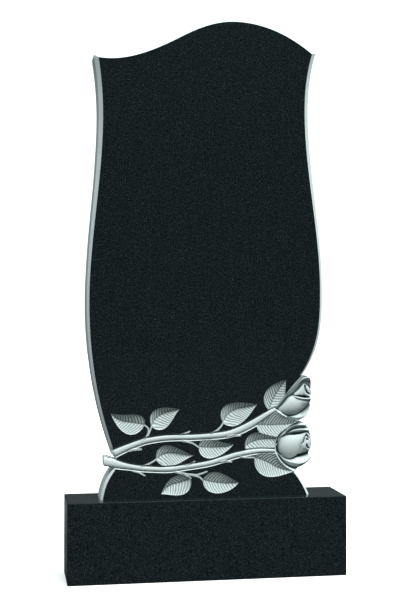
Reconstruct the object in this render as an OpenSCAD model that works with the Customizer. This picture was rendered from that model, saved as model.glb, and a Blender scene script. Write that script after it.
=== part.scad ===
// Granite headstone: a curved slab with a spray of two carved roses, standing on a plinth.
// +X runs to the right, +Y to the back, +Z up, and the origin is the centre of the plinth's underside.

/* [Plinth] */
// Width of the plinth
plinth_w = 700; // [660:10:900]
// Depth of the plinth from front to back
plinth_d = 150; // [120:5:250]
// Height of the plinth
plinth_h = 200; // [120:10:260]
// Width of the small bevel along the plinth's polished edges
arris = 1.5; // [0.5:0.5:4]

/* [Slab] */
// Width of the slab at its widest
slab_w = 597; // [500:1:640]
// Height of the slab from the plinth to its crown
slab_h = 1191; // [1000:1:1400]
// Thickness of the slab
slab_t = 80; // [70:5:110]
// Width of the matt bevel down the sides above the waist
bevel_top = 10; // [6:0.5:12]
// Width of the matt bevel at the belly and on the feet
bevel_low = 6; // [4:0.5:8]

/* [Carving] */
// Depth of the leaves at the midrib
leaf_depth = 6; // [3:0.5:9]
// Width of the sunk bed on each side of a stem
bed_side = 3; // [2:0.5:4]
// Depth of the hollow that the roses stand in
rose_depth = 34; // [28:1:38]
// How far the end of the lower stem reaches back from the face
butt_depth = 40; // [30:1:50]

/* [Hidden] */

// Heights on the slab are drawn from the ground, with the slab's foot this high.
drawn_base = 200;
// How far a cutting solid stands in front of the face
proud = 3;
// Pieces in each curved stretch of a side, and in each short arc
side_steps = 7;
arc_steps = 6;
// Sections along a leaf, and sides of a stem
leaf_steps = 9;
ring = 10;

// One stretch of a curve from a to b, each [place, value, slope], at place t.
function ease(a, b, t) =
    let (l = b[0] - a[0], u = (t - a[0]) / l, s = u * u * (3 - 2 * u))
    a[1] + (b[1] - a[1]) * s + l * a[2] * u * (1 - u) * (1 - u) - l * b[2] * u * u * (1 - u);

// Points [place, value] along a curve through the keys, without its last point.
function along(keys, steps) = [
    for (k = [0 : len(keys) - 2]) for (i = [0 : steps - 1])
    let (t = keys[k][0] + (keys[k + 1][0] - keys[k][0]) * i / steps)
    [t, ease(keys[k], keys[k + 1], t)]
];

// Points from a towards b on an arc that bulges to the left of that way by h, without the last point.
function bow(a, b, h, steps) = [
    for (i = [0 : steps - 1])
    let (t = i / steps, w = b - a, n = [-w[1], w[0]] / norm(w))
    a + w * t + n * (4 * h * t * (1 - t))
];

// The polished face's edge: [height, x, slope] down each side and [x, height, slope] along the top.
left_side = [[320, -233.5, -0.35], [685, -294.3, 0], [1150, -260.5, 0], [1290.5, -271.5, -0.16]];
right_side = [[1316.5, 269.8, 0.3], [1170, 250.3, 0], [715, 290.7, 0], [502, 238, 0.72]];
top_edge = [[-271.5, 1290.5, -0.06], [-246, 1289, 0], [-60, 1351.5, 0.54], [71, 1391, 0],
            [269.8, 1316.5, -0.78]];
left_tip = [-282, 1297.5];
right_tip = [281.5, 1321];

// Width of the side bevel at height z.
function bevel_at(z) =
    bevel_low + (bevel_top - bevel_low) * min(1, max(0, (z - 760) / 300));

// A rim point is [face x, face z, outline x, outline z, bevel depth].
function bevelled(p, side, w) = [p[0], p[1], p[0] + side * w, p[1], 0.8 * w];
function square_cut(p) = [p[0], p[1], p[0], p[1], 1];

left_rim = [for (p = along(left_side, side_steps)) bevelled([p[1], p[0]], -1, bevel_at(p[0]))];
right_rim = [for (p = along(right_side, side_steps)) bevelled([p[1], p[0]], 1, bevel_at(p[0]))];
top_points = along(top_edge, 6);
top_rim = concat(
    [[top_points[0][0], top_points[0][1], left_tip[0], left_tip[1], 0.8 * bevel_top]],
    [for (i = [1 : len(top_points) - 1]) square_cut(top_points[i])],
    [[269.8, 1316.5, right_tip[0], right_tip[1], 0.8 * bevel_top]]);

// The roses' own outline down the right side, from the upper petal to the right foot.
rose_rim = [for (p = concat(
    bow([243, 503], [269.5, 490], 4, arc_steps),
    bow([269.5, 490], [269.5, 441], 3, arc_steps),
    bow([269.5, 441], [235, 388], 13, arc_steps + 2),
    bow([235, 387], [269.5, 345], 9, arc_steps),
    bow([269.5, 345], [267, 300], 2, 4),
    bow([271, 291], [234, 267], 3, arc_steps))) square_cut(p)];

// The feet, and the neck on the left between them and the side.
right_foot = [for (p = bow([220, 258.5], [255.8, 200], 2.7, arc_steps)) bevelled(p, 1, bevel_low)];
left_foot = [for (p = bow([-261, 200], [-230.5, 274], 5.7, arc_steps)) bevelled(p, -1, bevel_low)];
sole = [bevelled([255.8, 200], 1, bevel_low)];
neck = [square_cut([-231, 277]), square_cut([-226, 297])];

// The whole rim, clockwise as seen from the front.
rim = concat(left_rim, top_rim, right_rim, rose_rim, right_foot, sole, left_foot, neck);

// The slab, with its front edge inset by the bevel.
module slab() {
    n = len(rim);
    face_y = -slab_t / 2;
    front = [for (p = rim) [p[0], face_y, p[1]]];
    middle = [for (p = rim) [p[2], face_y + p[4], p[3]]];
    back = [for (p = rim) [p[2], slab_t / 2, p[3]]];
    walls = [for (k = [0, 1]) for (i = [0 : n - 1])
        let (j = (i + 1) % n, a = k * n, b = (k + 1) * n)
        each [[a + i, b + i, b + j], [a + i, b + j, a + j]]];
    polyhedron(
        points = concat(front, middle, back),
        faces = concat([[for (i = [0 : n - 1]) i]], [[for (i = [n - 1 : -1 : 0]) 2 * n + i]], walls),
        convexity = 10);
}

// A point at x and height z, d behind the face.
function sunk(x, z, d) = [x, d - slab_t / 2, z];

// A solid whose sections are the given closed rings, all with as many points.
module loft(rings) {
    m = len(rings[0]);
    n = len(rings);
    polyhedron(
        points = [for (r = rings) each r],
        faces = concat(
            [[for (i = [m - 1 : -1 : 0]) i]],
            [[for (i = [0 : m - 1]) (n - 1) * m + i]],
            [for (k = [0 : n - 2]) for (i = [0 : m - 1])
                let (j = (i + 1) % m, a = k * m, b = a + m)
                each [[a + i, a + j, b + j], [a + i, b + j, b + i]]]),
        convexity = 6);
}

// Each leaf: [base x, base z, tip x, tip z, width above the midrib, width below, rise of the midrib].
leaves = [
    [-158, 384, -241, 414, 20, 35, -10],
    [-140, 380, -69, 422, 30, 21, 11],
    [-129, 298, -34, 306, 32, 20, 10],
    [-42, 248, -117, 211, 24, 26, 6],
    [-11, 244, 80, 236, 21, 31, -6],
    [-22, 326, 67, 332, 19, 30, -5],
    [40, 386, 128, 431, 35, 22, 12],
    [158, 416, 202, 491, 30, 20, 1],
    [125, 379, 238, 384, 35, 32, -4],
    [96, 324, 195, 344, 29, 16, 8],
    [121, 297, 222, 259, 20, 35, -3]
];

// How quickly a leaf widens from its base, and how finely it runs out to its tip
leaf_base_power = 0.6;
leaf_tip_power = 1.15;
function leaf_width(u) = pow(u, leaf_base_power) * pow(1 - u, leaf_tip_power);

// How wide a leaf is at u along it, as a share of its widest.
function leaf_share(u) = leaf_width(u) / leaf_width(leaf_base_power / (leaf_base_power + leaf_tip_power));

// The cut that makes a leaf: a valley that is deepest along the midrib.
module leaf_cut(leaf) {
    base = [leaf[0], leaf[1]];
    way = [leaf[2], leaf[3]] - base;
    turned = [-way[1], way[0]] / norm(way);
    up = way[0] < 0 ? -turned : turned;
    rise = (leaf_depth + proud) / leaf_depth;
    rings = [for (i = [0 : leaf_steps])
        let (u = 0.01 + 0.98 * i / leaf_steps,
            share = leaf_share(u),
            mid = base + way * u + up * (leaf[6] * 4 * u * (1 - u)),
            top = base + way * u + up * (leaf[4] * share),
            low = base + way * u - up * (leaf[5] * share),
            wide_top = mid + (top - mid) * rise,
            wide_low = mid + (low - mid) * rise)
        [sunk(wide_top[0], wide_top[1], -proud),
            sunk(mid[0], mid[1], leaf_depth * sqrt(share)),
            sunk(wide_low[0], wide_low[1], -proud)]];
    if (way[0] > 0) loft(rings);
    else loft([for (r = rings) [r[2], r[1], r[0]]]);
}

// Stem centre lines from left to right: [x, z, half width].
upper_stem = [[-234.5, 314, 9], [-200, 329, 7.5], [-150, 345, 6.5], [-100, 351, 6.5], [-30, 351.5, 6.5],
              [40, 356, 7.5], [80, 366, 8.5], [120, 385, 8.5], [150, 403, 7], [176, 416, 5]];
lower_stem = [[-232, 290, 10], [-200, 282.5, 6.5], [-150, 275, 6], [-100, 272.5, 6], [-60, 276.5, 6],
              [0, 284.5, 6], [40, 295, 6.5], [80, 306, 6.5], [130, 313, 5], [178, 312, 4]];

// A round rod along a stem. Its middle lies depth_share of its half width behind the face.
module rod(path, extra, drop, depth_share) {
    last = len(path) - 1;
    loft([for (k = [0 : last])
        let (a = path[max(k - 1, 0)], b = path[min(k + 1, last)],
            way = [b[0] - a[0], b[1] - a[1]], side = [-way[1], way[0]] / norm(way),
            r = path[k][2] + extra)
        [for (i = [0 : ring - 1])
            let (c = r * cos(360 * i / ring), back = r * sin(360 * i / ring))
            sunk(path[k][0] + side[0] * c, path[k][1] + side[1] * c - drop, back + r * depth_share)]]);
}

// The stem itself, just below the face, and the bed that is cut round it.
module bar(path) rod(path, 0, 0, 1.12);
module bed(path) rod(path, bed_side, 1.5, 0);

// Each thorn: [root x, root z, tip x, tip z].
thorns = [[-62, 356, -43, 367], [-188, 326, -164, 323], [62, 356, 84, 354], [-170, 268, -156, 257],
          [-45, 282, -32, 292], [46, 290, 64, 286]];

// A thorn standing on a stem, as a low pyramid.
module thorn(t) {
    hull() {
        translate(sunk(t[0], t[1], 7)) rotate([90, 0, 0]) cylinder(h = 5, r1 = 5, r2 = 3, $fn = 8);
        translate(sunk(t[2], t[3], 5)) rotate([90, 0, 0]) cylinder(h = 3, r = 0.8, $fn = 6);
    }
}

// An egg shape: middle [x, z, depth], half sizes along, across and back, and its turn.
module egg(middle, size, turn, sides) {
    translate(sunk(middle[0], middle[1], middle[2]))
        rotate([0, -turn, 0])
            scale([size[0], size[2], size[1]])
                sphere(r = 1, $fn = sides);
}

// A rounded petal that runs straight back into the stone, so nothing behind it is undercut.
module mound(middle, size, turn, sides) {
    hull() {
        egg(middle, size, turn, sides);
        egg(middle + [0, 0, 12], size, turn, sides);
    }
}

// A bloom's outer petal: a mound that is hollowed out from the front.
module cupped(middle, size, turn, hollow, hollow_size) {
    difference() {
        mound(middle, size, turn, 28);
        egg(hollow, hollow_size, turn, 24);
    }
}

// The upper rose: outer petals behind, one below, the full front petal, the bud and its rolled heart.
module upper_rose() {
    cupped([228, 446, 32], [62, 42, 28], 42, [237, 444, 8], [50, 33, 20]);
    cupped([238, 416, 36], [42, 30, 30], 10, [240, 428, 10], [42, 28, 18]);
    mound([222, 425, 33], [42, 25, 31], 15, 26);
    mound([245, 458, 30], [27, 20, 25], 30, 20);
    cupped([258, 465, 24], [11, 18, 18], 12, [259, 465, 7], [6, 12, 8]);
}

// The lower rose, built the same way and turned more level.
module lower_rose() {
    cupped([222, 325, 32], [52, 54, 28], 10, [231, 329, 8], [45, 44, 20]);
    cupped([232, 306, 36], [46, 38, 30], 10, [234, 318, 10], [44, 34, 18]);
    mound([211, 321, 33], [35, 30, 31], 10, 26);
    mound([240, 332, 30], [27, 22, 25], 15, 20);
    cupped([258, 334, 24], [11, 21, 18], -6, [259, 334, 7], [6, 14, 8]);
}

// The left edge of the roses' place, up from the foot and round the back of each bloom.
rose_back = concat(
    bow([222, 262], [174, 309], 6, arc_steps),
    bow([174, 309], [226, 384], 21, arc_steps),
    bow([226, 391], [174, 418], -2, 4),
    bow([174, 418], [243, 503], 3, arc_steps));

// A prism with the given outline, between two depths behind the face.
module prism(outline, from, to) {
    translate([0, to - slab_t / 2, 0]) rotate([90, 0, 0])
        linear_extrude(height = to - from) polygon(outline);
}

// The hollow that the roses stand in, open to the right.
module rose_hollow() {
    prism(concat(rose_back, [[250, 520], [310, 520], [310, 240], [250, 240]]), -proud, rose_depth);
}

// The roses' outline, a little inside the slab's own, as deep as half the slab.
module rose_block() {
    inner = [for (p = rose_rim) [p[0] - 0.6, p[1]]];
    prism(concat(inner, [[216, 268], [184, 309], [190, 350], [224, 380], [224, 394], [184, 420]]),
        0.7, rose_depth + 3);
}

// The sawn end of the lower stem, which sticks out past the neck: [x, height of its middle, half height].
butt_path = [[-259, 296.5, 12.5], [-245, 293.5, 11.5], [-225, 289, 9], [-205, 284, 5]];
module butt() {
    half = butt_depth / 2;
    loft([for (p = butt_path)
        [for (i = [0 : ring - 1])
            let (c = cos(360 * i / ring), back = sin(360 * i / ring))
            sunk(p[0] + 0.1 * p[2] * c, p[1] + p[2] * c, half + half * back * p[2] / butt_path[0][2])]]);
}

// The slab with everything that is cut into it and left standing on it, at the size it is drawn.
module carved_slab() {
    difference() {
        slab();
        for (leaf = leaves) leaf_cut(leaf);
        bed(upper_stem);
        bed(lower_stem);
        rose_hollow();
    }
    bar(upper_stem);
    bar(lower_stem);
    for (t = thorns) thorn(t);
    intersection() {
        union() {
            upper_rose();
            lower_rose();
        }
        rose_block();
    }
    butt();
}

module stele() {
    color([0.12, 0.14, 0.14])
        translate([0, 0, plinth_h])
            resize([slab_w, slab_t, slab_h])
                translate([0, 0, -drawn_base]) carved_slab();
}

// A rectangle about the origin with its corners taken off.
module bevelled_rectangle(w, d) {
    x = w / 2;
    y = d / 2;
    polygon([[x - arris, -y], [x, arris - y], [x, y - arris], [x - arris, y],
        [arris - x, y], [-x, y - arris], [-x, arris - y], [arris - x, -y]]);
}

module plinth() {
    color([0.1, 0.12, 0.12])
        intersection() {
            linear_extrude(height = plinth_h) bevelled_rectangle(plinth_w, plinth_d);
            translate([-plinth_w / 2, 0, plinth_h / 2]) rotate([90, 0, 90])
                linear_extrude(height = plinth_w) bevelled_rectangle(plinth_d, plinth_h);
            translate([0, plinth_d / 2, plinth_h / 2]) rotate([90, 0, 0])
                linear_extrude(height = plinth_d) bevelled_rectangle(plinth_w, plinth_h);
        }
}

stele();
plinth();
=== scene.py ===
# %% [markdown]
# A carved granite headstone.
# The real object is two pieces of black granite: a slab, which masons call the stele, and the
# plinth it stands on. Both are polished like a mirror. Where the mason has cut into the slab,
# down its sides and through the spray of roses, the polish is gone and the stone is pale grey.
# The solid model is already made, so the scene starts from it: every length here is in
# millimetres in that model's own frame, and becomes metres only when a mesh is made.

# %% Load the solid model
import math

import bpy
import numpy as np
from mathutils.geometry import delaunay_2d_cdt
from mathutils.kdtree import KDTree
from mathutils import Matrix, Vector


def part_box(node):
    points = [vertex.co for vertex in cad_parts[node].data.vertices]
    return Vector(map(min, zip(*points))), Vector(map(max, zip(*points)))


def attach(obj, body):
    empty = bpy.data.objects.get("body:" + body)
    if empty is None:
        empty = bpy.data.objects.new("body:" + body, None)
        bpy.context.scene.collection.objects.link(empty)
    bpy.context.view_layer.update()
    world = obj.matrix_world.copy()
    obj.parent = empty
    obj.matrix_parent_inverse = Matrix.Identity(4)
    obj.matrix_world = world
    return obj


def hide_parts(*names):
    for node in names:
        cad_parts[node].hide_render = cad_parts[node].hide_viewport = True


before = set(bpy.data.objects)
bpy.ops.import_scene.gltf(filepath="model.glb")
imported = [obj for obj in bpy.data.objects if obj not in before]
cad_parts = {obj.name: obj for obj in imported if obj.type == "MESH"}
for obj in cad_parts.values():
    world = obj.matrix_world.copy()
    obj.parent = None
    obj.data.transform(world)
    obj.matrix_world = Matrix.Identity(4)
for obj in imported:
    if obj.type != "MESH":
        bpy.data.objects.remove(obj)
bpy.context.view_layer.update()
MM = 0.001
slab_low, slab_high = (np.array(corner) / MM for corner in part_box("stele"))
thickness = slab_high[1] - slab_low[1]
face_y = slab_low[1]
print("slab from", slab_low.round(1), "to", slab_high.round(1))

# %% [markdown]
# The outline of the slab.
# Nobody measures a curved side point by point. A mason bends a thin batten through a few marks
# and follows it. The helper "eased" does the same: each mark is a place, a value and a slope,
# and a cubic runs smoothly between two marks. The short arcs at the feet and round the petals
# come from "bowed", which bends a straight line sideways.

# %% Curves through a few marks
def eased(marks, step):
    """Points (place, value) on a smooth curve through marks of (place, value, slope)."""
    rows = []
    for (t0, v0, m0), (t1, v1, m1) in zip(marks, marks[1:]):
        length = t1 - t0
        count = max(1, round(abs(length) / step))
        u = np.arange(count) / count
        blend = u * u * (3 - 2 * u)
        v = v0 + (v1 - v0) * blend + length * (m0 * u * (1 - u) ** 2 - m1 * u * u * (1 - u))
        rows.append(np.column_stack([t0 + length * u, v]))
    return np.vstack(rows + [[[t1, v1]]])


def bowed(start, end, height, step):
    """Points from start to just before end on an arc that bulges to the left by height."""
    start, end = np.array(start, float), np.array(end, float)
    way = end - start
    length = np.hypot(*way)
    t = np.arange(max(2, round(length / step)))[:, None]
    t = t / len(t)
    left = np.array([-way[1], way[0]]) / length
    return start + way * t + left * 4 * height * t * (1 - t)


# %% The two sides and the crown
left_marks = [(320, -233.5, -0.35), (685, -294.3, 0), (1150, -260.5, 0), (1290.5, -271.5, -0.16)]
right_marks = [(1316.5, 269.8, 0.3), (1170, 250.3, 0), (715, 290.7, 0), (502, 238, 0.72)]
crown_marks = [(-271.5, 1290.5, -0.06), (-246, 1289, 0), (-60, 1351.5, 0.54), (71, 1391, 0),
               (269.8, 1316.5, -0.78)]
left_side = eased(left_marks, 3)[:, ::-1]
right_side = eased(right_marks, 3)[:, ::-1]
crown = eased(crown_marks, 5)[1:-1]
print("highest point of the crown", crown[:, 1].max().round(1))

# %% [markdown]
# The bevel.
# The polished face stops short of the side: a matt bevel, wider at the top than at the belly,
# runs down both sides and round the feet. The rim is therefore two lines, the face's edge and
# the outline a little behind it. Each rim point holds both, with how far back the outline lies
# and how far back the stone goes there.

# %% The rim as rows of face x, face z, outline x, outline z, bevel depth, reach
def bevel_width(z):
    return np.interp(z, [760, 1060], [6, 10])


def bevelled(points, side):
    width = bevel_width(points[:, 1])
    return np.column_stack([points, points[:, 0] + side * width, points[:, 1], 0.8 * width,
                            np.full(len(points), thickness)])


def square(points, reach=thickness):
    points = np.array(points, float)
    return np.column_stack([points, points, np.full(len(points), 0.8), np.full(len(points), reach)])


crown_rim = square(crown)
left_horn, right_horn = (-282, 1297.5), (281.5, 1321)
side_left, side_right = bevelled(left_side, -1), bevelled(right_side, 1)
side_left[-1, 2:4] = left_horn
side_right[0, 2:4] = right_horn

# %% [markdown]
# The roses reach past the slab's edge, so there the petals themselves are the outline. On the
# other side the lower stem ends in a sawn stub that is only half as deep as the slab.

# %% The petals' edge, the feet and the sawn stub
petal_edge = square(np.vstack([
    bowed((246.5, 503.2), (269.5, 490), 3.2, 1), bowed((269.5, 490), (269.5, 441), 3, 1),
    bowed((269.5, 441), (235, 388), 13, 1), bowed((235, 387), (254, 378), 2, 1),
    bowed((254, 378), (269.5, 345), 5, 1), bowed((269.5, 345), (267, 300), 2, 1),
    bowed((271, 291), (234, 267), 3, 1)]))
right_foot = bevelled(bowed((221, 258.5), (255.8, 200), 2.7, 1.5), 1)
sole = bevelled(np.array([[255.8, 200.0]]), 1)
left_foot = bevelled(bowed((-261, 200), (-230.5, 274), 5.7, 1.5), -1)
stub_reach = 40
stub_line = np.vstack([
    bowed((-240, 279.5), (-258, 284), -0.5, 1), bowed((-258, 284), (-258.5, 308.5), 0.8, 1),
    bowed((-258.5, 308.5), (-236, 302.5), 0.6, 1)])
stub = square(stub_line, stub_reach)
root_low, root_high = square([[-231.5, 277]]), square([[-226.5, 297.5]])
shoulder = bevelled(np.array([[-229.5, 308.0]]), -1)
rim = np.vstack([side_left, crown_rim, side_right, petal_edge, right_foot, sole, left_foot,
                 root_low, stub, root_high, shoulder])
face_rim, outline = rim[:, :2], rim[:, 2:4]
print("rim points", len(rim), "width", np.ptp(outline[:, 0]).round(1))

# %% [markdown]
# Measuring from a line.
# Everything in the carving is judged by how far it is from some line: a leaf's edge, a stem's
# middle, the border of the roses. One helper gives that distance for many points at once, and
# for a closed line it also says which side a point is on.

# %% Distances from a line
def resampled(points, step, closed=False):
    """The same line with its points about one step apart. Extra columns are carried along."""
    points = np.array(points, float)
    if closed:
        points = np.vstack([points, points[:1]])
    run = np.concatenate([[0], np.cumsum(np.hypot(*np.diff(points[:, :2], axis=0).T))])
    count = max(3, round(run[-1] / step))
    places = np.linspace(0, run[-1], count + 1)
    line = np.column_stack([np.interp(places, run, column) for column in points.T])
    return line[:-1] if closed else line


def smooth_line(marks, step, closed=False):
    """A rounded line through the marks, as a bent batten would lie."""
    marks = np.array(marks, float)
    if closed:
        around = np.vstack([marks[-1:], marks, marks[:2]])
    else:
        around = np.vstack([2 * marks[:1] - marks[1:2], marks, 2 * marks[-1:] - marks[-2:-1]])
    t = (np.arange(8) / 8)[:, None]
    rows = []
    for before, a, b, after in zip(around, around[1:], around[2:], around[3:]):
        rows.append(0.5 * (2 * a + (b - before) * t + (2 * before - 5 * a + 4 * b - after) * t ** 2
                           + (3 * a - before - 3 * b + after) * t ** 3))
    if not closed:
        rows.append(marks[-1:])
    return resampled(np.vstack(rows), step, closed)


def nearest(points, line, reach=1e9):
    """How far each point is from the line's points, and which of them is nearest."""
    low, high = line[:, :2].min(0) - reach, line[:, :2].max(0) + reach
    close = np.flatnonzero(np.all((points >= low) & (points <= high), axis=1))
    gap, index = np.full(len(points), 1e3), np.zeros(len(points), int)
    for part in np.array_split(close, max(1, len(close) // 4000)):
        apart = ((points[part, None, :] - line[None, :, :2]) ** 2).sum(2)
        index[part] = apart.argmin(1)
        gap[part] = np.sqrt(apart.min(1))
    return gap, index


def is_inside(points, loop):
    """True for each point inside a closed line."""
    x, z = points[:, 0], points[:, 1]
    inside = np.zeros(len(points), bool)
    for (x0, z0), (x1, z1) in zip(loop[:, :2], np.roll(loop[:, :2], -1, axis=0)):
        if z0 != z1:
            crossing = (z0 > z) != (z1 > z)
            inside ^= crossing & (x < (x1 - x0) * (z - z0) / (z1 - z0) + x0)
    return inside


def depth_inside(points, loop, reach):
    """Distance from a closed line, positive inside it and negative outside."""
    gap, _ = nearest(points, loop, reach)
    inside = np.zeros(len(points), bool)
    close = np.flatnonzero(gap < 999)
    inside[close] = is_inside(points[close], loop)
    return np.where(inside, gap, -gap)


# %% [markdown]
# The leaves.
# Each leaf is a shallow valley. Its deepest line is the midrib, so the upper half looks down
# and stays dark, and the lower half looks up and catches the light. A leaf is described as its
# carver would mark it out: where it starts, where its tip is, how far it swells above and
# below, and how the midrib bends. Fullness near the base and fineness near the tip are powers.

# %% Leaves as marked out on the stone
class Leaf:
    def __init__(self, base, tip, above, below, rib):
        self.base, self.tip = np.array(base, float), np.array(tip, float)
        self.length = np.hypot(*(self.tip - self.base))
        self.way = (self.tip - self.base) / self.length
        self.up = np.array([-self.way[1], self.way[0]])
        if self.up[1] < 0:
            self.up = -self.up
        self.above, self.below, self.rib = above, below, rib

    @staticmethod
    def swell(u, shape):
        """How far the edge stands off, for a shape of (most, fullness, fineness)."""
        most, full, fine = shape
        peak = full / (full + fine)
        return most * (u / peak) ** full * ((1 - u) / (1 - peak)) ** fine

    def rib_height(self, u):
        places, heights = zip((0, 0), *self.rib, (1, 0))
        return np.interp(u, places, heights)

    def at(self, u, off):
        """The places a share u along the leaf that stand off its straight line by off."""
        return self.base + np.outer(u * self.length, self.way) + np.outer(off, self.up)

    def outline(self, step=0.9):
        u = (1 - np.cos(np.linspace(0, math.pi, 80))) / 2
        top, low = self.at(u, self.swell(u, self.above)), self.at(u, -self.swell(u, self.below))
        return resampled(np.vstack([top[:-1], low[:0:-1]]), step, closed=True)

    def midrib(self, step=0.9):
        u = np.linspace(0.01, 0.99, 40)
        smooth = np.convolve(np.pad(self.rib_height(u), 3, mode="edge"), np.ones(7) / 7, "valid")
        return resampled(self.at(u, smooth), step)


# %% The eleven leaves
leaves = [
    Leaf((-158, 384), (-241, 414), (17.9, .55, 2.0), (35.1, .56, .94), [(.6, -10), (.8, -8)]),
    Leaf((-140, 380), (-69, 422), (30.3, .59, 1.15), (21.5, .67, 1.49),
         [(.19, 9.2), (.36, 11.3), (.55, 10.2), (.78, 6.2)]),
    Leaf((-129, 298), (-34, 306), (32, .49, 1.35), (20.2, .71, 1.34),
         [(.14, 6.9), (.31, 10.5), (.51, 8.9), (.72, 4.3)]),
    Leaf((-42, 248), (-117, 211), (23.9, .8, 1.07), (26.6, .72, 1.33),
         [(.22, .3), (.41, 3.4), (.57, 6.9), (.78, 6.4)]),
    Leaf((-11, 244), (80, 236), (21.7, .7, 1.43), (31.3, .5, .75),
         [(.22, -4.2), (.46, -6.4), (.68, -6.6), (.87, -3)]),
    Leaf((-22, 326), (67, 332), (19, .54, 1.8), (30.4, .42, .87),
         [(.19, -3.1), (.38, -5.3), (.61, -5.7), (.81, -4.8)]),
    Leaf((40, 386), (128, 431), (35.4, .45, 1.14), (22.7, .67, 1.22),
         [(.14, 8.6), (.3, 12.9), (.49, 12.2), (.66, 7.1), (.83, 2.4)]),
    Leaf((158, 416), (202, 491), (30.2, .61, .93), (20, .6, 1.1), [(.3, 2), (.7, 2)]),
    Leaf((125, 379), (238, 384), (36, .6, 1.1), (33, .6, 1.1), [(.3, -4), (.7, -5)]),
    Leaf((96, 324), (195, 344), (29.4, .61, 1.45), (25, .5, 0.9),
         [(.17, 6.6), (.37, 8.8), (.61, 6), (.82, 2.6)]),
    Leaf((121, 297), (222, 259), (27, .6, 1.1), (35, .68, 1.16),
         [(.2, 0), (.39, -1.2), (.59, -5.3), (.8, -3)]),
]
print(len(leaves), "leaves, the longest", max(leaf.length for leaf in leaves).round(), "mm")

# %% [markdown]
# Stems and twigs.
# A stem is a rounded bar standing in a bed that is cut to either side of it. Each is a path
# with a half width at every mark. The thin leaf stalks and the thorns are the same thing made
# small, so they are kept in a second list with a narrow bed of their own.

# %% Paths of x, z and half width
stems = [smooth_line(path, 1) for path in (
    [(-238, 312.5, 9), (-222, 320, 8.6), (-200, 329, 7.6), (-175, 338, 7), (-150, 345, 6.6), (-100, 351, 6.4),
     (-30, 351.5, 6.4), (40, 356, 7.3), (80, 366, 8.3), (120, 385, 8.3), (150, 403, 6.8), (178, 418, 4.5)],
    [(-263, 296.5, 12.2), (-247, 293, 11.6), (-232, 289.8, 10.4), (-215, 285.5, 8.4), (-200, 282.5, 7),
     (-175, 278, 6.3), (-150, 275, 6), (-100, 272.5, 6), (-60, 276.5, 6), (0, 284.5, 6), (40, 295, 6.5),
     (80, 306, 6.5), (130, 313, 5), (182, 312.5, 4)])]
stalks = [smooth_line(path, 1) for path in (
    [(-157, 383, 1.2), (-150, 377, 1.3), (-147.5, 368, 1.4), (-150, 359, 1.7), (-157, 350, 2.3),
     (-166, 344, 3)],
    [(-140, 380, 1.2), (-143, 372, 1.3), (-148, 361, 1.5), (-155, 352, 1.8)],
    [(-129, 298, 1.2), (-140, 291, 1.3), (-152, 286, 1.5), (-168, 281, 2)],
    [(-42, 249, 1.2), (-50, 255, 1.3), (-60, 262, 1.5)],
    [(-11, 243, 1.2), (-20, 251.5, 1.4), (-38, 257, 1.7), (-60, 261.5, 1.9), (-80, 266, 2.2)],
    [(-22, 326, 1.2), (-33, 334, 1.4), (-46, 339.5, 1.7), (-62, 343, 2.2)],
    [(40.5, 386, 1.2), (33, 375, 1.4), (23, 366.5, 1.7), (10, 360, 2.4)],
    [(121, 297, 1.2), (104, 298, 1.5), (84, 300, 2)],
    [(-1, 265, 1), (-14, 260.5, 1.4), (-28, 257.5, 1.6), (-44, 259, 1.8)])]
thorns = [smooth_line(path, 1) for path in (
    [(-44, 366.5, .7), (-50, 363, 1.6), (-58, 360, 2.2), (-70, 358.5, 1.6)],
    [(-166, 324, 1.4), (-174, 324, 2.2), (-185, 323.5, 2.4), (-198, 320, 1.5)],
    [(84, 353, 1.2), (74, 353.5, 2), (62, 352.5, 2.4), (50, 349, 2)],
    [(-157, 258.5, .8), (-163, 262, 1.6), (-172, 267, 1.6), (-184, 270, 1)],
    [(-32, 291, .7), (-38, 287, 1.5), (-45, 284, 2), (-56, 281.5, 1.5)],
    [(62, 288, 1), (54, 289, 2.2), (46, 290, 2.8), (34, 287.5, 2)])]
twigs = stalks + thorns
STEM_BED, TWIG_BED = 3.2, 0.8
print(len(stems), "stems,", len(stalks), "stalks and", len(thorns), "thorns")

# %% [markdown]
# The roses.
# A carved rose is a heap of petals, each laid over the last. The script works as a modeller in
# clay would: a petal is a closed edge whose marks say how far behind the face they lie, filled
# with the calmest skin that meets that edge, and then blown up or pressed in a little. Petals
# are laid on a fine tray of depths from the back to the front, each covering what is under it.
# The marks are set out on the plane of the face, as a viewer standing at the eye point sees
# them. A mark that lies deeper is followed back along its own line of sight. An entry in the
# lists below is a petal's marks, how far it is blown up and how full it is near its edge.

# %% A tray of depths for the roses
EYE = np.array([-504.0, -2910.0, 693.0])
TRAY_CELL = 0.8
tray_x = np.arange(158, 280, TRAY_CELL)
tray_z = np.arange(248, 512, TRAY_CELL)
tray_points = np.stack(np.meshgrid(tray_x, tray_z, indexing="ij"), -1)
rose_border = np.vstack([
    bowed((224, 259.5), (174, 309), 8, 1), bowed((174, 309), (208, 372), 14, 1),
    bowed((208, 372), (236, 386), 2, 1), bowed((236, 386.5), (206, 395), 0.5, 1),
    bowed((206, 395), (173, 418), 2, 1), bowed((173, 418), (243, 503.5), 2, 1),
    [[250, 520], [300, 520], [300, 240], [245, 240]]])
flat_points = tray_points.reshape(-1, 2)
in_roses = depth_inside(flat_points, resampled(rose_border, 1, True), 60).reshape(tray_points.shape[:2])
tray = np.clip(2.4 * in_roses, 0, 26)
print("tray of", tray.shape, "cells")


def behind_face(x, z, depth):
    """Follows a mark on the face's plane back along the line of sight to its depth."""
    share = depth / (face_y - EYE[1])
    return x + (x - EYE[0]) * share, z + (z - EYE[2]) * share


def neighbours(field):
    """The mean of the four cells round each cell, without the outermost rows."""
    return (field[:-2, 1:-1] + field[2:, 1:-1] + field[1:-1, :-2] + field[1:-1, 2:]) / 4


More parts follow.
